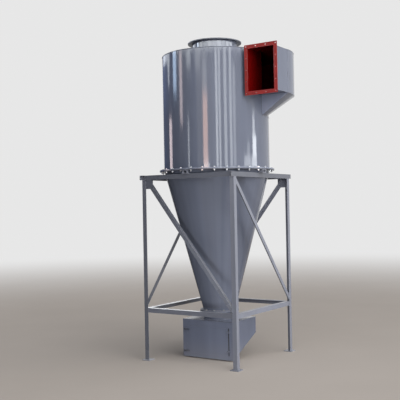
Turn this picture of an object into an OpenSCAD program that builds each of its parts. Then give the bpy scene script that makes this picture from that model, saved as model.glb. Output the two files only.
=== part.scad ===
// Cyclone separator on an angle steel stand, with a scroll inlet and a dust box.
// Millimetres. +Z is up, the floor is z = 0, the vessel axis is x = 0, y = 0.
// The inlet mouth looks to -Y and lies on the +X side of the barrel.
// The gas turns counter-clockwise, seen from above.

/* [Barrel and cone] */
// outside diameter of the barrel
barrel_d = 1200; // [1190:1:1206]
// top of the barrel wall above the floor
barrel_top = 3390; // [3350:10:3600]
// height of the bolted joint between cone and barrel
joint_z = 2100; // [2097:1:2120]
// sheet thickness of barrel and cone
shell_t = 5; // [4:0.5:6]
// outside diameter of the cone at its lower end
cone_d = 360; // [320:5:400]
// height of the bolted joint under the cone
cone_z = 520; // [515:1:525]
// width of the rings of the two big joint flanges
flange_w = 50; // [45:1:55]
// thickness of every round flange ring
flange_t = 10; // [8:0.5:12]
// width of the rings of the two small joint flanges
low_flange_w = 40; // [36:1:44]

/* [Inlet] */
// clear width of the inlet
inlet_w = 312; // [300:2:330]
// clear height of the inlet
inlet_h = 456; // [430:2:480]
// distance from the axis plane to the inlet mouth
inlet_reach = 303; // [295:1:330]
// sheet thickness of duct, scroll and dust box
duct_t = 4; // [3:0.5:5]
// height of the barrel wall above the duct roof
scroll_lid = 24; // [18:1:40]
// slope of the sheet under the scroll, in degrees
soffit_angle = 34.5; // [30:0.5:38]
// leg of the angle that makes the inlet flange
mouth_w = 36; // [34:1:40]
// distance from the duct sheet to the line of holes in the inlet flange
mouth_line = 17; // [15:0.5:20]
// diameter of the holes in the inlet flange
mouth_hole_d = 11; // [9:0.5:13]

/* [Gas outlet] */
// outside diameter of the gas outlet tube
outlet_d = 510; // [480:5:540]
// height of the outlet above the barrel roof
outlet_h = 158; // [140:2:180]
// depth of the tube inside the barrel, under the roof
finder_h = 590; // [540:10:700]
// width of the outlet flange ring
outlet_flange_w = 50; // [45:1:55]
// number of holes in the outlet flange
outlet_holes = 12; // [8:1:16]
// diameter of the holes in the outlet flange
outlet_hole_d = 14; // [12:0.5:16]
// distance from the outlet tube to the circle of holes in its flange
outlet_line = 27.5; // [26:0.5:30]

/* [Dust box] */
// width of the dust box along x
box_w = 660; // [620:5:700]
// depth of the dust box along y
box_d = 500; // [470:5:540]
// distance from the box middle to the axis, towards the front
box_shift = 10; // [0:1:20]
// height of the box roof plate's underside
box_top = 427; // [420:1:440]
// clearance of the tall front wall above the floor
box_foot = 12; // [8:1:25]
// height at which the sloped floor meets the back wall
box_back_z = 255; // [230:5:290]
// width of the cleaning cover on the front wall
cover_w = 540; // [500:5:580]
// height of the cleaning cover
cover_h = 300; // [270:5:330]
// height of the cover's lower edge above the floor
cover_z = 60; // [50:1:80]

/* [Stand] */
// gap between the cone and the right and left bars of the upper ring
side_gap = 4; // [3:0.5:8]
// gap between the cone and the front and back bars of the upper ring
front_gap = 29; // [25:1:33]
// leg width of the angle section of legs and rings
angle_w = 50; // [48:1:52]
// thickness of the angle section of legs and rings
angle_t = 5; // [4.5:0.5:5.5]
// top of the upper ring above the floor
ring_top_z = 2050; // [2046:1:2052]
// length by which the right and left bars of the upper ring stand out
ring_over = 45; // [35:1:60]
// top of the lower ring above the floor
ring_low_z = 580; // [570:1:600]
// leg width of the angle section of the braces
brace_w = 40; // [36:1:44]
// thickness of the brace section
brace_t = 4; // [3:0.5:5]
// distance from the corner to the head of the front and back braces
brace_head = 54; // [48:1:60]
// distance from the corner to the foot of the front and back braces
brace_foot = 29; // [24:1:34]
// distance from the corner to the head of the right and left braces
side_head = 20; // [15:1:26]
// distance from the corner to the foot of the right and left braces
side_foot = 5; // [0:1:10]
// width of the corner plate at the head of the front and back braces
gusset_w = 138; // [125:1:150]
// height of that corner plate
gusset_h = 100; // [90:1:110]
// side of the square base plates
base_w = 100; // [96:1:110]
// thickness of the base plates
base_t = 8; // [6:0.5:10]
// diameter of the anchor holes
anchor_d = 14; // [12:0.5:16]
// distance from the middle of a base plate to its anchor hole, on both axes
anchor_off = 20; // [16:1:24]
// width of the support brackets under the joint flange
lug_w = 80; // [70:1:84]
// plate thickness of the support brackets
lug_t = 8; // [6:0.5:10]
// distance from a bracket's edge to the middle of the web beside it
lug_web_in = 12; // [8:1:16]
// distance of the right and left brackets from the middle of their bars
lug_shift = 55; // [52:1:58]

/* [Display] */
// node to draw, or all

/* [Hidden] */
$fn = 96;
// gap left between curved sheets that are welded together
weld_gap = 0.3;
// how far a cutting shape runs past the face it cuts
over = 20;
barrel_r = barrel_d / 2;
cone_r = cone_d / 2;
outlet_r = outlet_d / 2;
flange_r = barrel_r + flange_w;
low_flange_r = cone_r + low_flange_w;
outlet_flange_r = outlet_r + outlet_flange_w;
outlet_pitch_r = outlet_r + outlet_line;
roof_t = shell_t;
outlet_top = barrel_top + roof_t + outlet_h;
cone_slope = (barrel_r - cone_r) / (joint_z - cone_z);

// the duct: clear space, sheets outside it
duct_in_x = barrel_r + weld_gap + duct_t;
duct_out_x = duct_in_x + inlet_w;
duct_top = barrel_top - scroll_lid - duct_t;
duct_low = duct_top - inlet_h;
// the scroll wall is one arc that starts at the duct's outer wall
// and comes back to the barrel a quarter turn on
scroll_x = (pow(duct_out_x, 2) - pow(barrel_r, 2)) / (2 * duct_out_x);
scroll_r = duct_out_x - scroll_x;
soffit_z = duct_low - duct_t;
soffit_slope = tan(soffit_angle);
soffit_drop = (duct_out_x + duct_t - barrel_r - weld_gap) * soffit_slope;
soffit_v = duct_t / cos(soffit_angle);

// mouth frame: outside of the duct, and pitches of the flange holes,
// three spaces across and four down
mouth_in_w = inlet_w + 2 * duct_t;
mouth_in_h = inlet_h + 2 * duct_t;
mouth_px = (mouth_in_w + 2 * mouth_line) / 3;
mouth_pz = (mouth_in_h + 2 * mouth_line) / 4;

// the stand's half width along x and half depth along y, to the outer faces
cone_at_ring = cone_r + (ring_top_z - cone_z) * cone_slope;
half_w = cone_at_ring + side_gap + angle_t;
half_d = cone_at_ring + front_gap + angle_t;
leg_top = ring_top_z - angle_w;
anchor_in = angle_w / 2 + anchor_off;
box_front = -box_d / 2 - box_shift;
box_back = box_d / 2 - box_shift;
box_fall = (box_back_z - box_foot) / box_d;

steel = [0.36, 0.40, 0.45];
primer = [0.45, 0.12, 0.10];

// the stand has four sides, counted counter-clockwise from the front: 0 to 3
function across(k) = k % 2 == 0 ? half_w : half_d;
function out(k) = k % 2 == 0 ? half_d : half_w;

// turns a piece of the front side to side k
module side(k) {
  rotate([0, 0, 90 * k]) children();
}

// a ring of one rectangular section about the vessel axis
module ring(r_in, r_out, z, h) {
  translate([0, 0, z])
    difference() {
      cylinder(r = r_out, h = h);
      translate([0, 0, -over]) cylinder(r = r_in, h = h + 2 * over);
    }
}

// the outer form of the cone, made larger by grow
module cone_form(grow) {
  translate([0, 0, cone_z])
    cylinder(r1 = cone_r + grow, r2 = barrel_r + grow, h = joint_z - cone_z);
}

// the leg at the right end of side k, its heel outwards
module leg(k) {
  side(k)
    translate([across(k), -out(k), base_t])
      linear_extrude(height = leg_top - base_t)
        polygon([
          [0, 0], [0, angle_w], [-angle_t, angle_w],
          [-angle_t, angle_t], [-angle_w, angle_t], [-angle_w, 0]
        ]);
}

// the base plate under that leg, with its anchor hole on the inner side
module base_plate(k) {
  leg_mid = angle_w / 2;
  side(k)
    translate([across(k), -out(k), 0])
      difference() {
        translate([-leg_mid - base_w / 2, leg_mid - base_w / 2, 0])
          cube([base_w, base_w, base_t]);
        translate([-anchor_in, anchor_in, -over])
          cylinder(d = anchor_d, h = base_t + 2 * over, $fn = 48);
      }
}

// an angle bar: a level shelf plate, and a wall plate under its outer edge
module bar(b, wall, shelf, top) {
  translate([-wall, -b, top - angle_w])
    cube([2 * wall, angle_t, angle_w - angle_t]);
  translate([-shelf, -b, top - angle_t])
    cube([2 * shelf, angle_w, angle_t]);
}

// a bar of the upper ring; its shelf is cut to the cone, which hangs in it
module ring_top(k) {
  a = across(k);
  long = k % 2 == 1;
  difference() {
    side(k)
      bar(
        out(k), long ? a + ring_over : a - angle_t,
        long ? a + ring_over : a - angle_w, ring_top_z
      );
    cone_form(weld_gap);
  }
}

// a bar of the lower ring, on the inner faces of the legs
module ring_low(k) {
  a = across(k) - angle_t;
  long = k % 2 == 1;
  side(k)
    bar(
      out(k) - angle_t, long ? a : a - angle_t,
      long ? a : a - angle_w, ring_low_z
    );
}

// a brace from the left leg's head to the right leg's foot of side k;
// the bar runs past both and is cut off at the legs and at the lower ring
module brace(k) {
  a = across(k);
  b = out(k) - angle_t;
  head = k % 2 == 0 ? brace_head : side_head;
  foot = k % 2 == 0 ? brace_foot : side_foot;
  run = 2 * a - head - foot;
  rise = leg_top - ring_low_z;
  past = 2 * brace_w;
  length = norm([run, rise]) + 2 * past;
  side(k)
    intersection() {
      translate([-a + head, -b, leg_top])
        rotate([0, atan2(rise, run), 0])
          translate([-past, 0, -brace_w / 2]) {
            cube([length, brace_t, brace_w]);
            translate([0, 0, brace_w - brace_t])
              cube([length, brace_w, brace_t]);
          }
      translate([-a + angle_t, -b, ring_low_z])
        cube([2 * (a - angle_t), angle_w, rise]);
    }
  if (k % 2 == 0)
    side(k)
      translate([-a + angle_t, -b, leg_top - gusset_h])
        cube([gusset_w, brace_t, gusset_h]);
}

// a bracket on the upper ring that carries the cone's flange
module support(k) {
  tip = flange_r - angle_t;
  back = out(k) - angle_t;
  web = max(back, barrel_r);
  low = ring_top_z;
  high = joint_z - flange_t;
  side(k)
    translate([-lug_w / 2 - (k % 2) * lug_shift, -tip, low]) {
      cube([lug_w, tip - back, lug_t]);
      translate([0, 0, high - low - lug_t]) cube([lug_w, tip - web, lug_t]);
      for (x = [lug_web_in, lug_w - lug_web_in])
        translate([x - lug_t / 2, 0, 0]) cube([lug_t, tip - web, high - low]);
    }
}

module cone() {
  difference() {
    cone_form(0);
    translate([0, 0, cone_z - over])
      cylinder(
        r1 = cone_r - shell_t - over * cone_slope,
        r2 = barrel_r - shell_t + over * cone_slope,
        h = joint_z - cone_z + 2 * over
      );
  }
}

module cone_top_flange() {
  difference() {
    translate([0, 0, joint_z - flange_t])
      cylinder(r = flange_r, h = flange_t);
    cone_form(weld_gap);
    translate([0, 0, joint_z - flange_t / 2])
      cylinder(r = barrel_r, h = flange_t + over);
  }
}

module cone_bottom_flange() {
  difference() {
    translate([0, 0, cone_z]) cylinder(r = low_flange_r, h = flange_t);
    cone_form(weld_gap);
  }
}

// the space inside the scroll, from the barrel's inside to the arc
module scroll_space() {
  intersection() {
    translate([scroll_x, 0, 0])
      union() {
        translate([0, 0, soffit_z])
          cylinder(r = scroll_r, h = duct_top - soffit_z);
        translate([0, 0, soffit_z - soffit_drop])
          soffit_cone(soffit_drop, soffit_v);
      }
    translate([duct_t, duct_t, soffit_z - soffit_drop - over])
      cube([duct_out_x, barrel_d, duct_top - soffit_z + soffit_drop + over]);
  }
}

// the cone under the scroll, of the given height, raised by lift
module soffit_cone(high, lift) {
  r_top = scroll_r + duct_t - lift / soffit_slope;
  cylinder(r1 = r_top - high / soffit_slope, r2 = r_top, h = high);
}

module barrel() {
  difference() {
    ring(barrel_r - shell_t, barrel_r, joint_z, barrel_top - joint_z);
    scroll_space();
  }
}

module barrel_flange() {
  ring(barrel_r + weld_gap, flange_r, joint_z, flange_t);
}

module barrel_roof() {
  ring(outlet_r + weld_gap, barrel_r, barrel_top, roof_t);
}

// keeps the part of a scroll sheet outside the barrel, in the scroll's quarter
module scroll_quarter(low, high) {
  difference() {
    intersection() {
      children();
      translate([0, 0, low])
        cube([duct_out_x + over, barrel_d, high - low]);
    }
    translate([0, 0, low - over])
      cylinder(r = barrel_r + weld_gap, h = high - low + 2 * over);
  }
}

module scroll_wall() {
  scroll_quarter(soffit_z, duct_top)
    translate([scroll_x, 0, soffit_z])
      difference() {
        cylinder(r = scroll_r + duct_t, h = duct_top - soffit_z);
        translate([0, 0, -over])
          cylinder(r = scroll_r, h = duct_top - soffit_z + 2 * over);
      }
}

module scroll_roof() {
  scroll_quarter(duct_top, duct_top + duct_t)
    translate([scroll_x, 0, duct_top])
      cylinder(r = scroll_r + duct_t, h = duct_t);
}

module scroll_soffit() {
  scroll_quarter(soffit_z - soffit_drop - over, soffit_z)
    translate([scroll_x, 0, soffit_z - soffit_drop])
      difference() {
        soffit_cone(soffit_drop, 0);
        soffit_cone(soffit_drop + over, soffit_v - over);
      }
}

module scroll_end_plate() {
  low_x = barrel_r + weld_gap;
  translate([0, 0, soffit_z])
    rotate([90, 0, 0])
      linear_extrude(height = duct_t)
        polygon([
          [low_x, 0], [duct_out_x + duct_t, 0], [low_x, -soffit_drop]
        ]);
}

module inlet_duct() {
  translate([duct_in_x - duct_t, -inlet_reach, duct_low - duct_t])
    difference() {
      cube([inlet_w + 2 * duct_t, inlet_reach, inlet_h + 2 * duct_t]);
      translate([duct_t, -over, duct_t])
        cube([inlet_w, inlet_reach + 2 * over, inlet_h]);
    }
}

// the mouth's angle ring: a face plate, and a wall plate along the duct
module inlet_flange() {
  w = mouth_in_w;
  h = mouth_in_h;
  mid_x = duct_in_x + inlet_w / 2;
  mid_z = duct_low + inlet_h / 2;
  translate([mid_x, -inlet_reach, mid_z])
    difference() {
      union() {
        translate([-w / 2 - mouth_w, 0, -h / 2 - mouth_w])
          cube([w + 2 * mouth_w, duct_t, h + 2 * mouth_w]);
        translate([-w / 2 - duct_t, 0, -h / 2 - duct_t])
          cube([w + 2 * duct_t, mouth_w, h + 2 * duct_t]);
      }
      translate([-w / 2, -over, -h / 2])
        cube([w, mouth_w + 2 * over, h]);
      // the wall plate of the angle stops at the barrel
      translate([-mid_x, inlet_reach, -over - h / 2 - mouth_w])
        cylinder(r = barrel_r + weld_gap, h = h + 2 * mouth_w + 2 * over);
      for (x = [-1.5, -0.5, 0.5, 1.5])
        for (z = [-2, 2])
          mouth_hole(x * mouth_px, z * mouth_pz);
      for (x = [-1.5, 1.5])
        for (z = [-1, 0, 1])
          mouth_hole(x * mouth_px, z * mouth_pz);
    }
}

module mouth_hole(x, z) {
  translate([x, -over, z])
    rotate([-90, 0, 0])
      cylinder(d = mouth_hole_d, h = duct_t + 2 * over, $fn = 48);
}

module gas_outlet_tube() {
  low = barrel_top - finder_h;
  ring(outlet_r - duct_t, outlet_r, low, outlet_top - low);
}

module gas_outlet_flange() {
  difference() {
    ring(outlet_r + weld_gap, outlet_flange_r, outlet_top - flange_t, flange_t);
    for (k = [0:outlet_holes - 1])
      rotate([0, 0, 360 / outlet_holes * (k + 0.5)])
        translate([outlet_pitch_r, 0, outlet_top - flange_t - over])
          cylinder(d = outlet_hole_d, h = flange_t + 2 * over, $fn = 48);
  }
}

// the side profile of the dust box, shrunk by in on the front, back and floor
module box_profile(in, top) {
  fall = box_fall;
  floor_in = in * sqrt(1 + fall * fall);
  rotate([90, 0, 90])
    linear_extrude(height = box_w - 2 * in)
      polygon([
        [box_front + in, box_foot + in * fall + floor_in],
        [box_back - in, box_back_z - in * fall + floor_in],
        [box_back - in, top],
        [box_front + in, top]
      ]);
}

module dust_box_walls() {
  difference() {
    translate([-box_w / 2, 0, 0]) box_profile(0, box_top);
    translate([-box_w / 2 + duct_t, 0, 0])
      box_profile(duct_t, box_top + over);
    box_under(0);
  }
}

// all space under the line of the sloped floor's upper face, less drop
module box_under(drop) {
  rise = duct_t * sqrt(1 + box_fall * box_fall);
  translate([-box_w / 2 + duct_t, 0, 0])
    rotate([90, 0, 90])
      linear_extrude(height = box_w - 2 * duct_t)
        polygon([
          [box_front + duct_t, box_foot + duct_t * box_fall + rise - drop],
          [box_back - duct_t, box_back_z - duct_t * box_fall + rise - drop],
          [box_back - duct_t, -over],
          [box_front + duct_t, -over]
        ]);
}

module dust_box_floor() {
  rise = duct_t * sqrt(1 + box_fall * box_fall);
  difference() {
    box_under(0);
    box_under(rise);
  }
}

module dust_box_roof() {
  difference() {
    translate([-box_w / 2, box_front, box_top])
      cube([box_w, box_d, duct_t]);
    translate([0, 0, box_top - over])
      cylinder(r = cone_r - shell_t, h = duct_t + 2 * over);
  }
}

module dust_box_neck() {
  low = box_top + duct_t;
  ring(cone_r - shell_t, cone_r, low, cone_z - low);
}

module neck_flange() {
  ring(cone_r + weld_gap, low_flange_r, cone_z - flange_t, flange_t);
}

module cleaning_cover() {
  translate([-cover_w / 2, box_front - duct_t, cover_z])
    cube([cover_w, duct_t, cover_h]);
}

color(steel) leg(0);  // leg_front_right
color(steel) leg(1);  // leg_back_right
color(steel) leg(2);  // leg_back_left
color(steel) leg(3);  // leg_front_left
color(steel) base_plate(0);  // base_plate_front_right
color(steel) base_plate(1);  // base_plate_back_right
color(steel) base_plate(2);  // base_plate_back_left
color(steel) base_plate(3);  // base_plate_front_left
color(steel) ring_top(0);  // ring_top_front
color(steel) ring_top(1);  // ring_top_right
color(steel) ring_top(2);  // ring_top_back
color(steel) ring_top(3);  // ring_top_left
color(steel) ring_low(0);  // ring_low_front
color(steel) ring_low(1);  // ring_low_right
color(steel) ring_low(2);  // ring_low_back
color(steel) ring_low(3);  // ring_low_left
color(steel) brace(0);  // brace_front
color(steel) brace(1);  // brace_right
color(steel) brace(2);  // brace_back
color(steel) brace(3);  // brace_left
color(steel) support(0);  // support_front
color(steel) support(1);  // support_right
color(steel) support(2);  // support_back
color(steel) support(3);  // support_left
color(steel) cone();
color(steel) cone_top_flange();
color(steel) cone_bottom_flange();
color(steel) barrel();
color(steel) barrel_flange();
color(steel) barrel_roof();
color(steel) scroll_wall();
color(steel) scroll_roof();
color(steel) scroll_soffit();
color(steel) scroll_end_plate();
color(primer) inlet_duct();
color(primer) inlet_flange();
color(steel) gas_outlet_tube();
color(steel) gas_outlet_flange();
color(steel) dust_box_walls();
color(steel) dust_box_floor();
color(steel) dust_box_roof();
color(steel) dust_box_neck();
color(steel) neck_flange();
color(steel) cleaning_cover();
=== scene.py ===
import math

import bpy
from mathutils import Matrix, Vector


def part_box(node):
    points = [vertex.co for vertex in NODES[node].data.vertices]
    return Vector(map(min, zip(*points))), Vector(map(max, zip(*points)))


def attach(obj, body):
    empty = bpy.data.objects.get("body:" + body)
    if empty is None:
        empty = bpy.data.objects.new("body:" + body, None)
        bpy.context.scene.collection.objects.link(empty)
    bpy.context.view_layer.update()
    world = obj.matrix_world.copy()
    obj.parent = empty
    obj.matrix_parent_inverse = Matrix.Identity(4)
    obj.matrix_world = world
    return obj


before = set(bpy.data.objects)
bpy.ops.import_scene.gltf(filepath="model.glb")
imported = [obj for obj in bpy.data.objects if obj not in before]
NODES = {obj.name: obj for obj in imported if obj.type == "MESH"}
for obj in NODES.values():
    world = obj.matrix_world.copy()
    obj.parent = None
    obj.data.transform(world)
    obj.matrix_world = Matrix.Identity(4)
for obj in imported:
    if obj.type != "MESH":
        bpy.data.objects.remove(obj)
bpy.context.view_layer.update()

# Colours of the real finishes, linear
GREY_ENAMEL = (0.127, 0.144, 0.196)
STAND_GREY = (0.201, 0.216, 0.266)
BOX_GREY = (0.107, 0.123, 0.174)
PRIMER_RED = (0.305, 0.025, 0.023)
CHIPPED_RED = (0.620, 0.360, 0.340)
INSIDE_RED = (0.150, 0.002, 0.002)
# Bare grey of enamel edges: partly wear, partly a painted edge highlight
WORN_AND_HIGHLIGHT_GREY = (0.340, 0.350, 0.370)
DUST = (0.300, 0.285, 0.265)
BLACK_RUBBER = (0.012, 0.013, 0.016)
ZINC = (0.620, 0.632, 0.655)

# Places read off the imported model, in metres
BARREL_LOW, BARREL_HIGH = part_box("barrel")
BARREL_R = BARREL_HIGH.y
JOINT_Z = BARREL_LOW.z
BARREL_TOP = BARREL_HIGH.z
ROOF_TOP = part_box("barrel_roof")[1].z
BARREL_FLANGE_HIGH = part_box("barrel_flange")[1]
FLANGE_R = BARREL_FLANGE_HIGH.y
FLANGE_T = BARREL_FLANGE_HIGH.z - JOINT_Z
TUBE_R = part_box("gas_outlet_tube")[1].x
OUTLET_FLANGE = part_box("gas_outlet_flange")
LOW_FLANGE_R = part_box("neck_flange")[1].x
CONE_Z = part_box("cone")[0].z
NECK_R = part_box("dust_box_neck")[1].x
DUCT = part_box("inlet_duct")
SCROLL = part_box("scroll_wall")
BOX_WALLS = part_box("dust_box_walls")
BOX_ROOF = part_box("dust_box_roof")
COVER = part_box("cleaning_cover")
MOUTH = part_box("inlet_flange")
MOUTH_MID = (MOUTH[0] + MOUTH[1]) / 2
MOUTH_HALF = (MOUTH[1] - MOUTH[0]) / 2
# The line of holes in the inlet flange, from the duct and from the flange's edge
MOUTH_HOLE_OFF = 0.017
MOUTH_HOLES_IN = MOUTH_HALF.x - (DUCT[1].x - DUCT[0].x) / 2 - MOUTH_HOLE_OFF

# The cosine from which a face counts as facing a direction, and the angles in degrees
# up to which edges are smoothed: on most pieces, on crisp ones and on weld beads
FACING = 0.9
SMOOTH = 40
CRISP = 30
BEAD_SMOOTH = 60


def select_only(piece):
    """Deselects everything, then selects one object and makes it active."""
    bpy.ops.object.select_all(action="DESELECT")
    piece.select_set(True)
    bpy.context.view_layer.objects.active = piece


def edit(piece):
    """Opens a piece in edit mode with nothing selected."""
    select_only(piece)
    bpy.ops.object.mode_set(mode="EDIT")
    bpy.ops.mesh.select_mode(type="FACE")
    bpy.ops.mesh.select_all(action="DESELECT")


def leave_edit():
    bpy.ops.object.mode_set(mode="OBJECT")


def select_faces(piece, wanted):
    """Selects the faces for which wanted(face) is true, in edit mode."""
    leave_edit()
    for face in piece.data.polygons:
        face.select = wanted(face)
    bpy.ops.object.mode_set(mode="EDIT")


def settle(piece):
    """Puts a piece's place into its mesh, so that its object sits at the origin."""
    select_only(piece)
    bpy.ops.object.transform_apply(location=True, rotation=True, scale=True)
    return piece


def join(pieces, name):
    """Makes one piece of several."""
    bpy.ops.object.select_all(action="DESELECT")
    for piece in pieces:
        piece.select_set(True)
    bpy.context.view_layer.objects.active = pieces[0]
    if len(pieces) > 1:
        bpy.ops.object.join()
    whole = bpy.context.active_object
    whole.name = name
    whole.data.name = name
    return whole


def finish_piece(piece, material, smooth_angle=SMOOTH):
    """Smooths a piece, gives it its finish and lets it ride on the one body."""
    select_only(piece)
    bpy.ops.object.shade_smooth_by_angle(angle=math.radians(smooth_angle))
    piece.data.materials.clear()
    piece.data.materials.append(material)
    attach(piece, "root")
    return piece


def around_axis(piece, count):
    """Repeats a piece evenly round the vessel axis and makes the copies real."""
    turn = bpy.data.objects.new("turn", None)
    bpy.context.scene.collection.objects.link(turn)
    turn.rotation_euler.z = 2 * math.pi / count
    bpy.context.view_layer.update()
    around = piece.modifiers.new("around", "ARRAY")
    around.count = count
    around.use_relative_offset = False
    around.use_object_offset = True
    around.offset_object = turn
    select_only(piece)
    bpy.ops.object.modifier_apply(modifier=around.name)
    bpy.data.objects.remove(turn)
    return piece


# Shader helpers


class Nodes:
    """A node tree, with short ways to add and join its nodes."""

    def __init__(self, tree):
        self.tree = tree
        tree.nodes.clear()

    def new(self, kind):
        return self.tree.nodes.new(f"ShaderNode{kind}")

    def link(self, source, target):
        self.tree.links.new(source, target)

    def feed(self, node, index, value):
        """Joins an output to an input, or sets the input to a constant."""
        socket = node.inputs[index]
        if isinstance(value, bpy.types.NodeSocket):
            self.link(value, socket)
        elif isinstance(value, tuple) and len(value) == 3 and socket.type == "RGBA":
            socket.default_value = (*value, 1.0)
        else:
            socket.default_value = value

    def math(self, operation, a, b=0.0, clamp=False):
        node = self.new("Math")
        node.operation = operation
        node.use_clamp = clamp
        self.feed(node, 0, a)
        self.feed(node, 1, b)
        return node.outputs[0]

    def vector(self, operation, a, b=(0.0, 0.0, 0.0)):
        node = self.new("VectorMath")
        node.operation = operation
        self.feed(node, 0, a)
        self.feed(node, 1, b)
        number = operation in ("DOT_PRODUCT", "LENGTH")
        return node.outputs["Value" if number else "Vector"]

    def axes(self, vector):
        node = self.new("SeparateXYZ")
        self.feed(node, 0, vector)
        return node.outputs

    def remap(self, value, low, high, to_low=0.0, to_high=1.0, smooth=False):
        node = self.new("MapRange")
        if smooth:
            node.interpolation_type = "SMOOTHSTEP"
        for index, number in ((1, low), (2, high), (3, to_low), (4, to_high)):
            node.inputs[index].default_value = number
        self.feed(node, 0, value)
        return node.outputs[0]

    def mix(self, factor, a, b):
        node = self.new("Mix")
        node.data_type = "RGBA"
        self.feed(node, 0, factor)
        self.feed(node, 6, a)
        self.feed(node, 7, b)
        return node.outputs[2]

    def choose(self, factor, a, b):
        """Goes from one shader to another."""
        node = self.new("MixShader")
        for index, value in enumerate((factor, a, b)):
            self.feed(node, index, value)
        return node.outputs[0]


class Shader(Nodes):
    """A material, with what its finish is made of."""

    def __init__(self, name):
        self.material = bpy.data.materials.new(name)
        self.material.use_nodes = True
        super().__init__(self.material.node_tree)
        self.out = self.new("OutputMaterial")
        self.skin = self.new("BsdfPrincipled")
        self.link(self.skin.outputs["BSDF"], self.out.inputs["Surface"])
        self.place = self.new("TexCoord").outputs["Object"]
        self.geometry = self.new("NewGeometry")

    def noise(self, scale, stretch=(1.0, 1.0, 1.0), detail=2.0, shift=0.0, at=None):
        """Cloudy noise in object space. A small stretch value draws it out along that
        axis. at is another vector to read it at."""
        mapping = self.new("Mapping")
        self.link(at or self.place, mapping.inputs["Vector"])
        mapping.inputs["Scale"].default_value = stretch
        mapping.inputs["Location"].default_value = (shift, shift, shift)
        node = self.new("TexNoise")
        self.link(mapping.outputs[0], node.inputs["Vector"])
        node.inputs["Scale"].default_value = scale
        node.inputs["Detail"].default_value = detail
        return node.outputs["Fac"]

    def bump(self, height, distance, below=None):
        node = self.new("Bump")
        node.inputs["Strength"].default_value = 1.0
        node.inputs["Distance"].default_value = distance
        self.link(height, node.inputs["Height"])
        if below:
            self.link(below, node.inputs["Normal"])
        return node.outputs[0]

    def edges(self, radius):
        """1 along the piece's outer edges and corners, 0 on its faces."""
        node = self.new("Bevel")
        node.samples = 6
        node.inputs["Radius"].default_value = radius
        facing = self.geometry.outputs["Normal"]
        return self.remap(self.vector("DOT_PRODUCT", node.outputs[0], facing), 0.985, 0.90)

    def set(self, **sockets):
        for name, value in sockets.items():
            self.feed(self.skin, name.replace("_", " "), value)


def scaled(colour, factor):
    return tuple(channel * factor for channel in colour)


# How fine each pattern is, about how often it comes in a metre. DRAWN_OUT is how much
# less often upwards
BANDS = 7.0
ROLLED_BANDS = 4.5
DRAWN_OUT = 0.04
CLOUDS = 1.4
SPECKS = 30.0
PEEL = 160.0
BRUSH_MARKS = 18.0
BRUSH_SPECKS = 90.0
ZINC_SPOTS = 140.0
GRAIN = 220.0
GRAIN_DUST = 12.0

# Shares from 0 to 1: how much dust and splash there is, from the cleanest place to the
# dirtiest, how rough dirt makes the coat, how rough the inner faces are, and how much
# rougher a coat is in its dullest place
DUST_SHARES = (0.15, 0.42)
SPLASH_SHARES = (0.02, 0.30)
DIRT_ROUGH = 0.55
INNER_ROUGH = 0.22
GLOSS_SPREAD = 0.06
# How far up a face looks where dust begins to settle on it, and where it all does
DUST_LIES = (0.55, 0.95)

# Sizes of edge wear and painted edge highlight, splashes and spray grain, in metres, and how
# each coat bends light
WEAR_AND_HIGHLIGHT_WIDTH = 0.003
CHIP_WIDTH = 0.004
HOLE_CHIP = 0.010
HOLE_CHIP_FULL = 0.008
SPLASH_TOP = 0.22
SPLASH_FULL = 0.01
PEEL_HEIGHT = 0.00004
BRUSH_HEIGHT = 0.0004
ZINC_SPOT_HEIGHT = 0.00015
GRAIN_HEIGHT = 0.0002
ENAMEL_IOR = 1.5
PRIMER_IOR = 1.36


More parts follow.
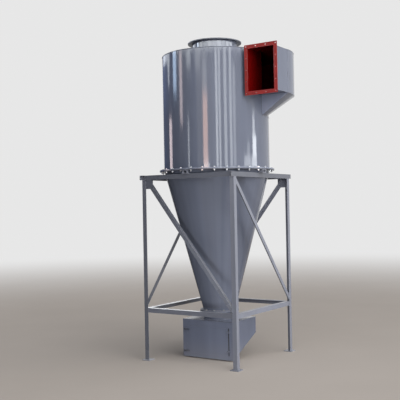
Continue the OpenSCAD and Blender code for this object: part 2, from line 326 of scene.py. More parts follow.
def enamel(
    name,
    colour,
    gloss,
    streaks=0.08,
    waves=0.0025,
    rim=0.6,
    dusty=1.0,
    inside_of=None,
    mouth=False,
    rolled=False,
    bare=WORN_AND_HIGHLIGHT_GREY,
):
    """Sprayed enamel on steel sheet: even, with faint upright bands, orange peel, dust on
    what faces up, splashes near the floor, and edges lightened to the bare colour, partly
    as wear and partly as a painted edge highlight. inside_of is a point, and faces that
    look towards it are in red primer. With mouth, so is the front end face. With rolled,
    the bands follow the slope of a shell that is round the vessel axis."""
    s = Shader(name)
    if rolled:
        outward = s.vector("MULTIPLY", s.place, (1.0, 1.0, 0.0))
        outward = s.vector("NORMALIZE", outward, (0.0, 0.0, 0.0))
        band = s.noise(ROLLED_BANDS, detail=3.0, at=outward)
    else:
        band = s.noise(BANDS, stretch=(1.0, 1.0, DRAWN_OUT), detail=3.0)
    cloud = s.noise(CLOUDS, detail=2.0, shift=3.1)
    fine = s.noise(SPECKS, detail=4.0, shift=7.7)
    tone = s.math(
        "ADD", s.math("MULTIPLY", band, 0.55), s.math("MULTIPLY", cloud, 0.45)
    )
    tone = s.remap(tone, 0.35, 0.65)
    paint = s.mix(tone, scaled(colour, 1 - streaks), scaled(colour, 1 + streaks))
    rough = s.remap(cloud, 0.3, 0.7, gloss, gloss + GLOSS_SPREAD)

    # Edges lightened towards the bare grey: partly wear, partly a painted edge highlight
    lighter_edge = s.edges(WEAR_AND_HIGHLIGHT_WIDTH)
    lighter_edge = s.math("MULTIPLY", lighter_edge, s.remap(fine, 0.42, 0.62, rim * 0.3, rim))
    paint = s.mix(lighter_edge, paint, bare)

    up = s.axes(s.geometry.outputs["Normal"])[2]
    settled = s.math("ADD", s.math("MULTIPLY", fine, 0.4), s.math("MULTIPLY", cloud, 0.6))
    dust = s.math(
        "MULTIPLY", s.remap(up, *DUST_LIES), s.remap(settled, 0.3, 0.7, *DUST_SHARES)
    )
    height = s.axes(s.place)[2]
    splash = s.math(
        "MULTIPLY",
        s.remap(height, SPLASH_TOP, SPLASH_FULL),
        s.remap(cloud, 0.2, 0.8, *SPLASH_SHARES),
    )
    dirt = s.math("MULTIPLY", s.math("MAXIMUM", dust, splash), dusty)
    paint = s.mix(dirt, paint, DUST)
    rough = s.math("ADD", rough, s.math("MULTIPLY", dirt, DIRT_ROUGH), clamp=True)

    if inside_of:
        away = s.vector("SUBTRACT", s.place, inside_of)
        facing = s.vector("DOT_PRODUCT", away, s.geometry.outputs["Normal"])
        inner = s.math("LESS_THAN", facing, 0.0)
        rust = s.mix(s.remap(fine, 0.35, 0.7), INSIDE_RED, scaled(INSIDE_RED, 0.7))
        paint = s.mix(inner, paint, rust)
        if mouth:
            front = s.axes(s.geometry.outputs["Normal"])[1]
            paint = s.mix(s.math("LESS_THAN", front, -FACING), paint, PRIMER_RED)
        rough = s.math("MAXIMUM", rough, s.math("MULTIPLY", inner, INNER_ROUGH))

    sheet = s.noise(1.0, stretch=(2.4, 2.4, 0.55), detail=1.0, shift=1.3)
    normal = s.bump(sheet, waves)
    peel = s.noise(PEEL, detail=1.0)
    normal = s.bump(peel, PEEL_HEIGHT, below=normal)
    s.set(Base_Color=paint, Roughness=rough, Normal=normal, IOR=ENAMEL_IOR)
    return s.material


def primer(name):
    """Matt red primer, brushed on thin over rolled angle and chipped round its holes."""
    s = Shader(name)
    brush = s.noise(BRUSH_MARKS, stretch=(1.0, 1.0, 0.5), detail=4.0)
    fine = s.noise(BRUSH_SPECKS, detail=3.0, shift=2.2)
    coat = s.mix(
        s.remap(brush, 0.3, 0.7), scaled(PRIMER_RED, 0.82), scaled(PRIMER_RED, 1.15)
    )
    place = s.axes(s.place)
    across = s.math("ABSOLUTE", s.math("SUBTRACT", place[0], MOUTH_MID.x))
    upright = s.math("ABSOLUTE", s.math("SUBTRACT", place[2], MOUTH_MID.z))
    inward = s.math(
        "MINIMUM",
        s.math("SUBTRACT", MOUTH_HALF.x, across),
        s.math("SUBTRACT", MOUTH_HALF.z, upright),
    )
    off_line = s.math("ABSOLUTE", s.math("SUBTRACT", inward, MOUTH_HOLES_IN))
    by_holes = s.remap(off_line, HOLE_CHIP, HOLE_CHIP_FULL, 0.12, 1.0)
    lighter_edge = s.math("MULTIPLY", s.edges(CHIP_WIDTH), by_holes)
    coat = s.mix(lighter_edge, coat, CHIPPED_RED)
    normal = s.bump(fine, BRUSH_HEIGHT)
    rough = s.remap(brush, 0.3, 0.7, 0.48, 0.64)
    s.set(Base_Color=coat, Roughness=rough, Normal=normal, IOR=PRIMER_IOR)
    return s.material


def zinc(name):
    """Bright zinc on bolts and nuts, with small dull spots."""
    s = Shader(name)
    spot = s.noise(ZINC_SPOTS, detail=3.0)
    coat = s.mix(s.remap(spot, 0.40, 0.70), ZINC, scaled(ZINC, 0.62))
    rough = s.remap(spot, 0.35, 0.7, 0.22, 0.42)
    s.set(
        Base_Color=coat,
        Roughness=rough,
        Normal=s.bump(spot, ZINC_SPOT_HEIGHT),
        Metallic=0.85,
    )
    return s.material


def rubber(name):
    """Black rubber strip, a little dusty, with a fine moulded grain."""
    s = Shader(name)
    grain = s.noise(GRAIN, detail=3.0)
    dusty = s.remap(s.noise(GRAIN_DUST, detail=3.0, shift=4.4), 0.4, 0.7, 0.0, 0.35)
    s.set(
        Base_Color=s.mix(dusty, BLACK_RUBBER, scaled(DUST, 0.35)),
        Roughness=s.remap(grain, 0.3, 0.7, 0.62, 0.8),
        Normal=s.bump(grain, GRAIN_HEIGHT),
    )
    return s.material


# Where the inner faces of each shell look to. The scroll's wall is an arc round its own
# axis, and FAR_OFF is far enough down or up that only its direction counts
FAR_OFF = 10.0
axis_low = (0.0, 0.0, -FAR_OFF)
scroll_mid_x = (SCROLL[1].x**2 - BARREL_R**2) / (2 * SCROLL[1].x)
duct_mid = tuple((DUCT[0] + DUCT[1]) / 2)

# The coats. Some are darker or lighter copies of one enamel, as painted shade and painted
# highlight
SHELL = enamel("shell_enamel_coat", GREY_ENAMEL, 0.05, inside_of=axis_low, rolled=True)
FLANGE_COAT = enamel("flange_enamel_coat", GREY_ENAMEL, 0.20, waves=0.0004, rim=0.95)
# Enamel and bare edge 1.5 times lighter on the joint flange: a painted highlight on its rim
JOINT_FLANGE_HIGHLIGHT_COAT = enamel(
    "joint_flange_painted_highlight",
    scaled(GREY_ENAMEL, 1.5),
    0.20,
    waves=0.0004,
    rim=0.95,
    bare=scaled(WORN_AND_HIGHLIGHT_GREY, 1.5),
)
SCROLL_COAT = enamel(
    "scroll_enamel_coat",
    GREY_ENAMEL,
    0.10,
    waves=0.0015,
    inside_of=(scroll_mid_x, 0.0, -FAR_OFF),
)
SOFFIT_COAT = enamel(
    "soffit_enamel_coat",
    GREY_ENAMEL,
    0.10,
    waves=0.0015,
    inside_of=(scroll_mid_x, 0.0, FAR_OFF),
)
DUCT_COAT = enamel(
    "duct_coat", GREY_ENAMEL, 0.12, waves=0.001, inside_of=duct_mid, mouth=True
)
# Enamel 2.2 times lighter on the end plate: painted light in the shade under the duct
PLATE_LIGHT_COAT = enamel("end_plate_painted_light", scaled(GREY_ENAMEL, 2.2), 0.12, waves=0.001)
DARK_FLANGE_COAT = enamel(
    "outlet_flange_coat", scaled(GREY_ENAMEL, 0.6), 0.35, waves=0.0004, rim=0.2
)
# Darker enamel on the cone's top flange: painted shade under the joint flange
CONE_FLANGE_SHADE_COAT = enamel(
    "cone_flange_painted_shade", scaled(GREY_ENAMEL, 0.7), 0.30, waves=0.0004, rim=0.2
)
# The cone's enamel at 0.83 of the shell's: painted shade that holds back the dome's light on
# it
CONE_SHADE_COAT = enamel(
    "cone_painted_shade_enamel",
    scaled(GREY_ENAMEL, 0.83),
    0.11,
    streaks=0.11,
    waves=0.0022,
    rolled=True,
)
BOX_COAT = enamel("box_enamel_coat", BOX_GREY, 0.34, waves=0.0008)
STAND_COAT = enamel(
    "stand_enamel_coat", STAND_GREY, 0.20, streaks=0.06, waves=0.0003, rim=0.4, dusty=0.5
)
# Stand enamel at 0.6 on the top ring's sides, left brace, front left leg and lower left bar:
# painted shade
STAND_SHADE_COAT = enamel(
    "stand_painted_shade",
    scaled(STAND_GREY, 0.60),
    0.22,
    streaks=0.06,
    waves=0.0003,
    dusty=0.5,
)
# Stand enamel at 0.38 on the front top bar and front brace: painted shade
FRONT_SHADE_COAT = enamel(
    "front_painted_shade",
    scaled(STAND_GREY, 0.38),
    0.24,
    streaks=0.06,
    waves=0.0003,
    rim=0.4,
    dusty=0.5,
)
# Stand enamel at 0.8 on the lower front bar: painted shade on its left part
LOW_BAR_SHADE_COAT = enamel(
    "low_bar_painted_shade",
    scaled(STAND_GREY, 0.80),
    0.20,
    streaks=0.06,
    waves=0.0003,
    rim=0.4,
    dusty=0.5,
)
BOX_ROOF_COAT = enamel("box_roof_coat", GREY_ENAMEL, 0.05, waves=0.001, dusty=0.15)
PRIMER_COAT = primer("red_primer_coat")
ZINC_COAT = zinc("zinc_coat")
RUBBER_COAT = rubber("rubber_strip")

COATS = {
    "barrel": SHELL,
    "barrel_roof": SHELL,
    "gas_outlet_tube": SHELL,
    "barrel_flange": JOINT_FLANGE_HIGHLIGHT_COAT,
    "gas_outlet_flange": DARK_FLANGE_COAT,
    "scroll_wall": SCROLL_COAT,
    "scroll_roof": SCROLL_COAT,
    "scroll_soffit": SOFFIT_COAT,
    "scroll_end_plate": PLATE_LIGHT_COAT,
    "inlet_duct": DUCT_COAT,
    "inlet_flange": PRIMER_COAT,
    "cone": CONE_SHADE_COAT,
    "cone_top_flange": CONE_FLANGE_SHADE_COAT,
    "cone_bottom_flange": FLANGE_COAT,
    "neck_flange": FLANGE_COAT,
    "dust_box_roof": BOX_ROOF_COAT,
    "ring_top_front": FRONT_SHADE_COAT,
    "ring_top_left": STAND_SHADE_COAT,
    "ring_top_right": STAND_SHADE_COAT,
    "brace_front": FRONT_SHADE_COAT,
    "brace_left": STAND_SHADE_COAT,
    "leg_front_left": STAND_SHADE_COAT,
    "ring_low_left": STAND_SHADE_COAT,
    "ring_low_front": LOW_BAR_SHADE_COAT,
    "cleaning_cover": BOX_COAT,
}


def coat_of(node):
    if node in COATS:
        return COATS[node]
    return BOX_COAT if node.startswith("dust_box") else STAND_COAT


for node, solid in NODES.items():
    for place in solid.material_slots:
        place.material = coat_of(node)


# Bolts: the thread's size, and how far the circle lies outside the middle of the rims

BOLT_SIZE = 0.012
CIRCLE_OUT = 0.0015
JOINT_BOLTS = 30
FOOT_BOLTS = 12
# A chamfer's width and depth as shares of the piece that it is on
CHAMFER = 0.10
NUT_CHAMFER_DEEP = 0.10
DISC_CHAMFER_DEEP = 0.08
# The sizes of a bolt's pieces as shares of its thread's size
WASHER_SHARE = 0.2
HEAD_SHARE = 0.62
NUT_SHARE = 0.85
ACROSS_SHARE = 1.5
END_SHARE = 0.55
END_OUT_SHARE = 0.45


def hexagon(across, height, low):
    """A hexagon head or nut with a raised, chamfered top, standing on z = low."""
    bpy.ops.object.select_all(action="DESELECT")
    bpy.ops.mesh.primitive_cylinder_add(
        vertices=6,
        radius=across / math.sqrt(3),
        depth=height,
        location=(0, 0, low + height / 2),
    )
    piece = settle(bpy.context.active_object)
    edit(piece)
    select_faces(piece, lambda face: abs(face.normal.z) > FACING)
    bpy.ops.mesh.inset(thickness=across * CHAMFER, depth=height * NUT_CHAMFER_DEEP)
    leave_edit()
    return piece


def disc(radius, height, low, sides=20):
    """A round plate or bolt end with a small chamfer, standing on z = low."""
    bpy.ops.object.select_all(action="DESELECT")
    bpy.ops.mesh.primitive_cylinder_add(
        vertices=sides, radius=radius, depth=height, location=(0, 0, low + height / 2)
    )
    piece = settle(bpy.context.active_object)
    edit(piece)
    select_faces(piece, lambda face: abs(face.normal.z) > FACING)
    bpy.ops.mesh.inset(thickness=radius * CHAMFER, depth=height * DISC_CHAMFER_DEEP)
    leave_edit()
    return piece


def bolt_set(size, grip_low, grip_high):
    """A bolt through plates between two heights: head and washer above, washer,
    nut and bolt end below. size is the thread diameter."""
    washer_t = size * WASHER_SHARE
    head_h = size * HEAD_SHARE
    nut_h = size * NUT_SHARE
    across = size * ACROSS_SHARE
    nut_low = grip_low - washer_t - nut_h
    return join(
        [
            disc(size, washer_t, grip_high),
            hexagon(across, head_h, grip_high + washer_t),
            disc(size, washer_t, grip_low - washer_t),
            hexagon(across, nut_h, nut_low),
            disc(size / 2, size * END_SHARE, nut_low - size * END_OUT_SHARE, 12),
        ],
        "bolt",
    )


def bolt_circle(name, count, size, radius, low, high, first_angle=0.0):
    """A full circle of bolts through a pair of flanges."""
    bolt = bolt_set(size, low, high)
    select_only(bolt)
    bolt.location = (radius * math.cos(first_angle), radius * math.sin(first_angle), 0)
    settle(bolt)
    around_axis(bolt, count)
    bolt.name = name
    return finish_piece(bolt, ZINC_COAT, CRISP)


bolt_circle(
    "joint_bolts",
    JOINT_BOLTS,
    BOLT_SIZE,
    (BARREL_R + FLANGE_R) / 2 + CIRCLE_OUT,
    JOINT_Z - FLANGE_T,
    JOINT_Z + FLANGE_T,
)
bolt_circle(
    "cone_foot_bolts",
    FOOT_BOLTS,
    BOLT_SIZE,
    (NECK_R + LOW_FLANGE_R) / 2 + CIRCLE_OUT,
    CONE_Z - FLANGE_T,
    CONE_Z + FLANGE_T,
    math.pi / FOOT_BOLTS,
)


# Welds: a bead's half thickness, the length of one of its steps, and how far its middle
# lies off the sheet it is on

BEAD = 0.0035
FINE_BEAD = 0.0025
BEAD_STEP = 0.009
BEAD_SIDES = 6
OFF_SHEET = 0.001
UNEVEN = 0.30


def roughen(bead, size, seed):
    """Makes a bead uneven, as laid by hand."""
    edit(bead)
    bpy.ops.mesh.select_all(action="SELECT")
    bpy.ops.transform.vertex_random(offset=size * UNEVEN, seed=seed)
    leave_edit()
    return bead


def ring_bead(radius, height, size, seed, centre_x=0.0, from_angle=0, to_angle=360):
    """A weld bead round an upright axis, all the way or between two headings."""
    steps = int(radius * 2 * math.pi / BEAD_STEP)
    bpy.ops.object.select_all(action="DESELECT")
    bpy.ops.mesh.primitive_torus_add(
        location=(centre_x, 0, height),
        major_radius=radius,
        minor_radius=size,
        major_segments=steps,
        minor_segments=BEAD_SIDES,
    )
    bead = settle(bpy.context.active_object)
    if to_angle - from_angle < 360:
        edit(bead)

        def beyond(face):
            turn = math.degrees(math.atan2(face.center.y, face.center.x - centre_x))
            return not from_angle <= turn % 360 <= to_angle

        select_faces(bead, beyond)
        bpy.ops.mesh.delete(type="FACE")
        bpy.ops.mesh.select_all(action="SELECT")
        bpy.ops.mesh.region_to_loop()
        bpy.ops.mesh.edge_face_add()
        leave_edit()
    return roughen(bead, size, seed)


def straight_bead(start, end, size, seed):
    """A weld bead from one point to another, with a ring of points at each step."""
    a, b = Vector(start), Vector(end)
    along = b - a
    bpy.ops.object.select_all(action="DESELECT")
    bpy.ops.mesh.primitive_cylinder_add(
        vertices=BEAD_SIDES,
        radius=size,
        depth=along.length,
        location=(a + b) / 2,
        rotation=along.to_track_quat("Z", "Y").to_euler(),
    )
    bead = settle(bpy.context.active_object)
    edit(bead)
    bpy.ops.mesh.select_mode(type="EDGE")
    leave_edit()
    line = along.normalized()
    for edge in bead.data.edges:
        p, q = (bead.data.vertices[i].co for i in edge.vertices)
        edge.select = abs((q - p).normalized().dot(line)) > 0.99
    bpy.ops.object.mode_set(mode="EDIT")
    bpy.ops.mesh.subdivide(number_cuts=max(2, int(along.length / BEAD_STEP)))
    leave_edit()
    return roughen(bead, size, seed)


SCROLL_R = SCROLL[1].x - scroll_mid_x
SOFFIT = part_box("scroll_soffit")
END_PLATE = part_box("scroll_end_plate")
SCROLL_ROOF_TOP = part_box("scroll_roof")[1].z
# The heading of the upright seam, and between which headings the scroll's beads run
SEAM_ANGLE = math.radians(205)
ROOF_RIM_BEAD = (2, 84)
ROOF_FOOT_BEAD = (6, 74)
SOFFIT_BEAD = (2, 80)
seam = Vector((math.cos(SEAM_ANGLE), math.sin(SEAM_ANGLE), 0)) * BARREL_R
on_shell = BARREL_R + OFF_SHEET
on_tube = TUBE_R + OFF_SHEET
on_neck = NECK_R + OFF_SHEET

shell_beads = [
    ring_bead(BARREL_R, BARREL_TOP, BEAD, 1),
    ring_bead(on_shell, JOINT_Z + FLANGE_T, BEAD, 2),
    ring_bead(on_tube, ROOF_TOP, BEAD, 3),
    ring_bead(on_tube, OUTLET_FLANGE[0].z, BEAD, 4),
    straight_bead(
        seam + Vector((0, 0, JOINT_Z + FLANGE_T)),
        seam + Vector((0, 0, BARREL_TOP)),
        FINE_BEAD,
        5,
    ),
    ring_bead(SCROLL_R, SCROLL_ROOF_TOP, FINE_BEAD, 10, scroll_mid_x, *ROOF_RIM_BEAD),
    ring_bead(on_shell, SCROLL_ROOF_TOP, FINE_BEAD, 11, 0.0, *ROOF_FOOT_BEAD),
    ring_bead(on_shell, SOFFIT[0].z, FINE_BEAD, 12, 0.0, *SOFFIT_BEAD),
    straight_bead(
        (SCROLL[1].x, 0, DUCT[0].z), (SCROLL[1].x, 0, DUCT[1].z), FINE_BEAD, 13
    ),
    straight_bead((DUCT[0].x, 0, DUCT[1].z), (DUCT[1].x, 0, DUCT[1].z), FINE_BEAD, 14),
    straight_bead(
        (on_shell, END_PLATE[0].y, END_PLATE[0].z),
        (on_shell, END_PLATE[0].y, END_PLATE[1].z),
        FINE_BEAD,
        15,
    ),
    straight_bead(
        (END_PLATE[0].x, END_PLATE[1].y, END_PLATE[0].z),
        (END_PLATE[1].x, END_PLATE[1].y, END_PLATE[1].z),
        FINE_BEAD,
        16,
    ),
]
finish_piece(join(shell_beads, "shell_welds"), FLANGE_COAT, BEAD_SMOOTH)

# The cone leans outwards, so its foot's bead lies a little further out
CONE_LEAN = 0.003
cone_beads = [
    ring_bead(on_neck + CONE_LEAN, CONE_Z + FLANGE_T, BEAD, 6),
    ring_bead(on_neck, CONE_Z - FLANGE_T, BEAD, 7),
    ring_bead(on_neck, BOX_ROOF[1].z, BEAD, 8),
    ring_bead(BARREL_R - OFF_SHEET, JOINT_Z - FLANGE_T, BEAD, 9),
]
finish_piece(join(cone_beads, "cone_welds"), FLANGE_COAT, BEAD_SMOOTH)


def level_frame(low, high, height, size, seed):
    """Four beads round a level rectangle, joined at its corners."""
    corners = [(low.x, low.y), (high.x, low.y), (high.x, high.y), (low.x, high.y)]
    beads = []
    for number, start in enumerate(corners):
        end = corners[(number + 1) % 4]
        beads.append(straight_bead((*start, height), (*end, height), size, seed + number))
    return beads


box_beads = level_frame(BOX_WALLS[0], BOX_WALLS[1], BOX_ROOF[0].z, FINE_BEAD, 20)
finish_piece(join(box_beads, "box_welds"), BOX_COAT, BEAD_SMOOTH)

stand_beads = []
for side in ("front_right", "back_right", "back_left", "front_left"):
    foot_low, foot_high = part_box(f"leg_{side}")
    plate_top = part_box(f"base_plate_{side}")[1].z
    heel_x = foot_high.x if "right" in side else foot_low.x
    toe_x = foot_low.x if "right" in side else foot_high.x
    heel_y = foot_high.y if "back" in side else foot_low.y
    toe_y = foot_low.y if "back" in side else foot_high.y
    for height, seed in ((plate_top, 30), (foot_high.z, 40)):
        heel = (heel_x, heel_y, height)
        stand_beads.append(straight_bead(heel, (toe_x, heel_y, height), FINE_BEAD, seed))
        stand_beads.append(straight_bead(heel, (heel_x, toe_y, height), FINE_BEAD, seed + 1))
finish_piece(join(stand_beads, "stand_welds"), STAND_COAT, BEAD_SMOOTH)


# Cleaning cover: clamps at its left and right edges, and a rubber strip all round


def bar_block(low, high, chamfer):
    """A flat bar between two corners, with its edges rounded."""
    bpy.ops.object.select_all(action="DESELECT")
    bpy.ops.mesh.primitive_cube_add(size=1, location=(Vector(low) + Vector(high)) / 2)
    bar = bpy.context.active_object
    bar.scale = Vector(high) - Vector(low)
    settle(bar)
    edit(bar)
    bpy.ops.mesh.select_all(action="SELECT")
    bpy.ops.mesh.bevel(offset=chamfer, segments=2, affect="EDGES")
    leave_edit()
    return bar


CLAMP_REACH = 0.030
CLAMP_OUT = 0.046
CLAMP_T = 0.006
CLAMP_EDGE = 0.0018
PACKER_EDGE = 0.0010
PACKER_HALF = 0.010
STUD_IN = 0.022
STUD_WASHER_R = 0.008
STUD_WASHER_T = 0.002
STUD_HEAD = 0.012
STUD_HEAD_H = 0.006


def clamp(low_x, high_x, z, width, packer_x):
    """A short flat bar across the cover's edge, with a packer under its outer end, as
    thick as the cover, and a bolt through it."""
    face_y = COVER[0].y
    half = width / 2
    bolt_x = packer_x + math.copysign(STUD_IN, low_x + high_x - 2 * packer_x)
    bar = bar_block(
        (low_x, face_y - CLAMP_T, z - half), (high_x, face_y, z + half), CLAMP_EDGE
    )
    packer = bar_block(
        (packer_x - PACKER_HALF, face_y, z - half),
        (packer_x + PACKER_HALF, COVER[1].y, z + half),
        PACKER_EDGE,
    )
    washer = disc(STUD_WASHER_R, STUD_WASHER_T, CLAMP_T)
    head = hexagon(STUD_HEAD, STUD_HEAD_H, CLAMP_T + STUD_WASHER_T)
    stud = join([washer, head], "stud")
    stud.rotation_euler = (math.pi / 2, 0, 0)
    stud.location = (bolt_x, face_y, z)
    settle(stud)
    return [bar, packer, stud]


# The right clamps are shorter. Widths are of the bars, low and high
RIGHT_REACH = CLAMP_REACH * 0.6
RIGHT_OUT = CLAMP_OUT * 0.5
LEFT_WIDTHS = (0.018, 0.022)
RIGHT_WIDTH = 0.020
left_span = (COVER[0].x - CLAMP_OUT, COVER[0].x + CLAMP_REACH)
right_span = (COVER[1].x - RIGHT_REACH, COVER[1].x + RIGHT_OUT)
left_packer = left_span[0] + PACKER_HALF
right_packer = right_span[1] - PACKER_HALF
LOW_Z = COVER[0].z + 0.016
RIGHT_LOW_Z = LOW_Z + 0.030
HIGH_Z = COVER[1].z - 0.042
dark_clamps = clamp(*left_span, LOW_Z, LEFT_WIDTHS[0], left_packer)
dark_clamps += clamp(*left_span, HIGH_Z, LEFT_WIDTHS[1], left_packer)
plain_clamps = clamp(*right_span, RIGHT_LOW_Z, RIGHT_WIDTH, right_packer)
plain_clamps += clamp(*right_span, HIGH_Z, RIGHT_WIDTH, right_packer)
finish_piece(join(dark_clamps, "left_clamps"), DARK_FLANGE_COAT, SMOOTH)
finish_piece(join(plain_clamps, "right_clamps"), BOX_COAT, SMOOTH)


# How far the black strip stands out on the right: a painted shade line for the gap at the
# cover's edge
SHADE_LINE_OUT = 0.010
STRIP_WIDTH = 0.016
STRIP_SHARE = 0.6


def cover_shade_strip():
    """The rubber strip under the cover's rim: a flat frame whose black edge stands out past
    the cover on the right as a painted shade line for the gap there. It takes up a share of
    the cover's thickness."""
    low = COVER[0].copy()
    high = COVER[1] + Vector((SHADE_LINE_OUT, 0, 0))
    low.y = COVER[1].y - (COVER[1].y - COVER[0].y) * STRIP_SHARE
    bpy.ops.object.select_all(action="DESELECT")
    bpy.ops.mesh.primitive_cube_add(size=1, location=(low + high) / 2)
    strip = bpy.context.active_object
    strip.scale = high - low
    settle(strip)
    edit(strip)
    select_faces(strip, lambda face: abs(face.normal.y) > FACING)
    bpy.ops.mesh.inset(thickness=STRIP_WIDTH)
    bpy.ops.mesh.bridge_edge_loops()
    leave_edit()
    strip.name = "cover_shade_strip"
    strip.data.name = "cover_shade_strip"
    return strip


finish_piece(cover_shade_strip(), RUBBER_COAT, CRISP)


# Studio: the floor goes over into the backdrop with its distance from the vessel axis

FLOOR = (0.520, 0.472, 0.430)
FLOOR_SIZE = 120
BACKDROP = (0.80, 0.80, 0.80)
FADE_FROM = 4.5
FADE_TO = 19.0


def floor_coat():
    """The plain floor, a little cloudy."""
    s = Shader("studio_floor")
    cloud = s.noise(0.9, detail=5.0)
    s.set(
        Base_Color=s.mix(s.remap(cloud, 0.3, 0.7), scaled(FLOOR, 0.96), FLOOR),
        Roughness=0.85,
        Specular_IOR_Level=0.0,
    )
    glow = s.new("Emission")
    s.feed(glow, "Color", BACKDROP)
    rays = s.new("LightPath").outputs
    seen = s.math("MAXIMUM", rays["Is Camera Ray"], rays["Is Glossy Ray"])
    far = s.remap(s.vector("LENGTH", s.place), FADE_FROM, FADE_TO, smooth=True)
    whole = s.choose(s.math("MULTIPLY", seen, far), s.skin.outputs[0], glow.outputs[0])
    s.link(whole, s.out.inputs["Surface"])
    return s.material


bpy.ops.object.select_all(action="DESELECT")
bpy.ops.mesh.primitive_plane_add(size=FLOOR_SIZE, location=(0, 0, 0))
floor = bpy.context.active_object
floor.name = "studio_floor"
floor.data.materials.append(floor_coat())

# The dome's bright side, and its colour and strength away from it and towards it. A place
# on the dome counts as towards it by the cosine of its angle to it
BRIGHT_SIDE = Vector((0.90, -0.25, 0.30))
DOME_SHADE = (0.40, 0.64, 1.0)
DOME_BRIGHT = (1.0, 0.985, 0.97)
DOME_TINTS = (-0.6, 0.6)
DOME_STRENGTHS = (-0.02, 0.9)
DOME_LOW = 0.035
DOME_HIGH = 1.90


def world_light():
    """The plain backdrop for the camera and for reflections, and a soft dome that is
    brighter towards the right for everything else."""
    world = bpy.data.worlds.new("studio")
    bpy.context.scene.world = world
    world.use_nodes = True
    n = Nodes(world.node_tree)
    shown = n.new("Background")
    n.feed(shown, "Color", BACKDROP)
    look = n.new("TexCoord").outputs["Generated"]
    towards = n.vector("DOT_PRODUCT", look, BRIGHT_SIDE.normalized())
    dome = n.new("Background")
    n.feed(dome, "Color", n.mix(n.remap(towards, *DOME_TINTS), DOME_SHADE, DOME_BRIGHT))
    n.feed(dome, "Strength", n.remap(towards, *DOME_STRENGTHS, DOME_LOW, DOME_HIGH))
    rays = n.new("LightPath").outputs
    seen = n.math("MAXIMUM", rays["Is Camera Ray"], rays["Is Glossy Ray"])
    seen = n.math("MAXIMUM", seen, rays["Is Transmission Ray"])
    whole = n.choose(seen, dome.outputs[0], shown.outputs[0])
    n.link(whole, n.new("OutputWorld").inputs["Surface"])


world_light()

# What one square metre of an area lamp takes for a radiance of 1
LAMP_POWER = 4


def heading(degrees):
    """The level direction at an angle from +X towards +Y."""
    return Vector((math.cos(math.radians(degrees)), math.sin(math.radians(degrees)), 0))


def panel_lamp(name, degrees, low, high, width, colour, radiance, distance=11.0):
    """An upright panel that faces the vessel axis and shows only in the enamel."""
    tall = high - low
    lamp = bpy.data.lights.new(name, "AREA")
    lamp.shape = "RECTANGLE"
    lamp.size = width
    lamp.size_y = tall
    lamp.color = colour
    lamp.energy = radiance * width * tall * LAMP_POWER
    thing = bpy.data.objects.new(name, lamp)
    thing.location = heading(degrees) * distance + Vector((0, 0, (low + high) / 2))
    thing.rotation_euler = (math.pi / 2, 0, math.radians(degrees + 90))
    thing.visible_camera = False
    thing.visible_diffuse = False
    bpy.context.scene.collection.objects.link(thing)
    return thing


def link_lamp(lamp, state, *nodes):
    """Keeps a lamp's light to the named nodes, or with EXCLUDE keeps it off them. The
    floor counts as a node."""
    linked = bpy.data.collections.new(f"{lamp.name}_things")
    for number, node in enumerate(nodes):
        linked.objects.link(floor if node == "floor" else NODES[node])
        linked.collection_objects[number].light_linking.link_state = state
    lamp.light_linking.receiver_collection = linked


TOP_SHELLS = ("barrel", "gas_outlet_tube", "gas_outlet_flange")
FRONT_STEEL = ("ring_top_front", "brace_front")
LOW_BARS = ("ring_low_front", "ring_low_left")
BOX_FRONT = ("dust_box_walls", "cleaning_cover")

COOL = (0.93, 0.97, 1.0)
BEIGE = (1.0, 0.61, 0.47)
ROSE = (1.0, 0.83, 0.84)
SKY = (0.55, 0.74, 1.0)
# Heading, low edge, high edge, width, colour and radiance of each panel. One stands a
# little nearer than the rest, before another
PANELS = [
    (172, 5.4, 7.0, 7.0, COOL, 2.1),
    (-176, 4.8, 5.4, 1.1, COOL, 2.3),
    (-171, 2.2, 3.95, 2.1, ROSE, 4.3),
    (-152.8, 4.6, 6.6, 2.0, SKY, 6.2),
    (-135, 3.8, 5.6, 1.4, ROSE, 5.0),
    (-117, 2.2, 3.9, 0.6, COOL, 4.2),
    (-114.5, 5.2, 5.6, 2.0, COOL, 4.0),
    (-94, 5.1, 5.6, 2.2, COOL, 1.8),
    (-80, 2.2, 4.5, 1.8, BEIGE, 6.2),
    (-80, 4.5, 5.4, 1.6, COOL, 1.8),
    (-78.5, 2.2, 2.74, 2.3, COOL, 7.0, 10.8),
    (-56, 2.2, 5.6, 0.8, COOL, 5.6),
    (-49.5, 2.2, 5.6, 0.7, COOL, 5.0),
    (-37.5, 2.2, 5.6, 1.1, COOL, 4.0),
    (-26.5, 2.2, 5.6, 0.9, COOL, 4.1),
    (-19, 2.2, 5.2, 1.0, COOL, 2.6),
    (10, 2.2, 2.95, 3.2, COOL, 4.6),
    (13, 2.95, 3.3, 1.3, COOL, 2.2),
    (28, 2.2, 2.95, 3.0, COOL, 6.8),
    (29.5, 2.95, 3.45, 2.1, COOL, 9.5),
    (28, 3.45, 4.0, 1.1, COOL, 5.0),
]
# Heading, width and radiance of the panels in the high row
HIGH_ROW_LOW = 5.65
HIGH_ROW_TOP = 7.2
HIGH_ROW = [
    (-150, 3.6, 6.0),
    (-128, 3.6, 6.5),
    (-105, 4.4, 6.0),
    (-82, 4.0, 8.0),
    (-59, 4.4, 7.0),
    (-36, 4.2, 9.0),
    (-13, 4.2, 7.0),
    (10, 3.8, 8.0),
    (32, 3.8, 6.0),
]
LEFT_PANELS_TO = -110

for number, row in enumerate(PANELS):
    panel = panel_lamp(f"panel_{number}", *row)
    if row[0] < LEFT_PANELS_TO:
        link_lamp(panel, "EXCLUDE", *FRONT_STEEL)
for number, (turn, width, radiance) in enumerate(HIGH_ROW, len(PANELS)):
    panel = panel_lamp(
        f"panel_{number}", turn, HIGH_ROW_LOW, HIGH_ROW_TOP, width, COOL, radiance
    )
    link_lamp(panel, "INCLUDE", *TOP_SHELLS)

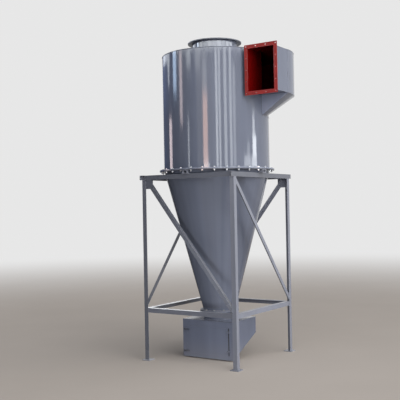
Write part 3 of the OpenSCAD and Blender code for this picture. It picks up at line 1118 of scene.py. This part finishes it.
# Behind the vessel, low: it shows as a bright line on the lower ring's upper faces
low_panel = panel_lamp("low_panel", 122, 1.4, 3.4, 6.0, COOL, 2.3)
link_lamp(low_panel, "INCLUDE", *LOW_BARS)

# The dark cloth: its radius, height and headings, how near the axis its floor part comes
# and how far that lies over the floor
CURTAIN_R = 12.5
CURTAIN_TOP = 9.0
CURTAIN_SIDES = 96
CURTAIN_FROM = -98
CURTAIN_TO = 142
CURTAIN_NEAR = 1.0
CURTAIN_OVER = 0.004
CURTAIN_DARK = (0.010, 0.013, 0.020)
CURTAIN_GLOW = (0.036, 0.048, 0.090)
# Its faint glow: the heights between which it sets in, and where and how much it grows
GLOW_SETS_IN = (1.8, 3.0)
GLOW_TO_LEFT = (-9.0, -12.0, 1.0, 3.2)
GLOW_HIGH_UP = (4.1, 5.1, 1.0, 2.0)


def curtain_coat():
    s = Shader("studio_curtain")
    place = s.axes(s.place)
    glow = s.math(
        "MULTIPLY", s.remap(place[2], *GLOW_SETS_IN), s.remap(place[0], *GLOW_TO_LEFT)
    )
    glow = s.math("MULTIPLY", glow, s.remap(place[2], *GLOW_HIGH_UP))
    s.set(
        Base_Color=CURTAIN_DARK,
        Roughness=1.0,
        Emission_Color=CURTAIN_GLOW,
        Emission_Strength=glow,
    )
    return s.material


def curtain():
    """A dark cloth on the left, outside the view, and one on the floor there, which
    show only in the enamel."""
    bpy.ops.object.select_all(action="DESELECT")
    bpy.ops.mesh.primitive_cylinder_add(
        vertices=CURTAIN_SIDES,
        radius=CURTAIN_R,
        depth=CURTAIN_TOP,
        end_fill_type="NOTHING",
        location=(0, 0, CURTAIN_TOP / 2),
    )
    cloth = settle(bpy.context.active_object)
    edit(cloth)

    def outside(face):
        turn = math.degrees(math.atan2(face.center.y, face.center.x))
        return CURTAIN_FROM <= turn <= CURTAIN_TO

    select_faces(cloth, outside)
    bpy.ops.mesh.delete(type="FACE")
    bpy.ops.mesh.select_all(action="DESELECT")
    bpy.ops.mesh.select_mode(type="EDGE")
    leave_edit()
    foot = CURTAIN_OVER * 2
    for edge in cloth.data.edges:
        ends = [cloth.data.vertices[i].co for i in edge.vertices]
        edge.select = max(end.z for end in ends) < foot
    bpy.ops.object.mode_set(mode="EDIT")
    bpy.ops.mesh.extrude_edges_move()
    shrink = CURTAIN_NEAR / CURTAIN_R
    bpy.ops.transform.resize(value=(shrink, shrink, 1), center_override=(0, 0, 0))
    leave_edit()
    for point in cloth.data.vertices:
        if point.co.z < foot:
            point.co.z = CURTAIN_OVER
    cloth.name = "studio_curtain"
    cloth.data.materials.append(curtain_coat())
    for ray in ("camera", "diffuse", "shadow", "transmission", "volume_scatter"):
        setattr(cloth, f"visible_{ray}", False)


curtain()

SOFT_WHITE = (1.0, 0.985, 0.965)


def soft_lamp(name, degrees, low, high, width, radiance, distance, nod=0):
    """A wide lamp that lights the surfaces and doesn't show in them. nod turns it down
    from level, in degrees."""
    lamp = panel_lamp(name, degrees, low, high, width, SOFT_WHITE, radiance, distance)
    lamp.rotation_euler.x = math.radians(90 - nod)
    lamp.visible_glossy = False
    lamp.visible_diffuse = True
    return lamp


# After each name: heading, low edge, high edge, width, radiance, distance and nod
soft_lamp("key", -25, 4.0, 8.0, 5.0, 2.4, 9.0, 28)
fill = soft_lamp("fill", -20, 0.8, 4.2, 4.0, 4.5, 9.0)
link_lamp(fill, "EXCLUDE", "floor", "cone")
back = soft_lamp("back", 130, 2.5, 7.5, 6.0, 3.2, 9.0, 20)
link_lamp(back, "EXCLUDE", "floor")
# Low, from the front, so that the front brace shades the cone beside it
bounce = soft_lamp("bounce", -67, 0.0, 0.6, 0.6, 82.0, 6.0)
link_lamp(bounce, "INCLUDE", "cone")
cone_fill = soft_lamp("cone_fill", 5, 0.8, 4.2, 4.0, 3.6, 9.0)
link_lamp(cone_fill, "INCLUDE", "cone")
# Near the right front corner, so that the front bar and brace grow darker to the left
corner = soft_lamp("corner", -55.5, 1.0, 1.4, 0.4, 44.0, 1.94)
link_lamp(corner, "INCLUDE", *FRONT_STEEL)
# Low beside it, for the same on the front of the dust box
low_corner = soft_lamp("low_corner", -53, 0.1, 0.4, 0.3, 15.0, 1.25)
link_lamp(low_corner, "INCLUDE", *BOX_FRONT)


# Camera: angles in degrees

CAMERA_PLACE = (4.561, -7.183, 1.685)
CAMERA_HEADING = 33.76
CAMERA_TILT = 0.57
CAMERA_ROLL = -1.09
LENS = 67.18
SENSOR = 36.0


def camera():
    """The camera where the photograph was taken from, turned from +Y towards -X,
    tilted up and rolled."""
    shape = bpy.data.cameras.new("camera")
    shape.lens = LENS
    shape.sensor_width = SENSOR
    shape.sensor_height = SENSOR
    thing = bpy.data.objects.new("camera", shape)
    thing.location = CAMERA_PLACE
    yaw, tilt = math.radians(CAMERA_HEADING), math.radians(CAMERA_TILT)
    ahead = Vector(
        (-math.sin(yaw) * math.cos(tilt), math.cos(yaw) * math.cos(tilt), math.sin(tilt))
    )
    side = Vector((math.cos(yaw), math.sin(yaw), 0))
    over = side.cross(ahead)
    roll = math.radians(CAMERA_ROLL)
    right = side * math.cos(roll) + over * math.sin(roll)
    top = over * math.cos(roll) - side * math.sin(roll)
    thing.rotation_euler = Matrix((right, top, -ahead)).transposed().to_euler()
    bpy.context.scene.collection.objects.link(thing)
    bpy.context.scene.camera = thing


camera()
bpy.context.scene.view_settings.view_transform = "Standard"
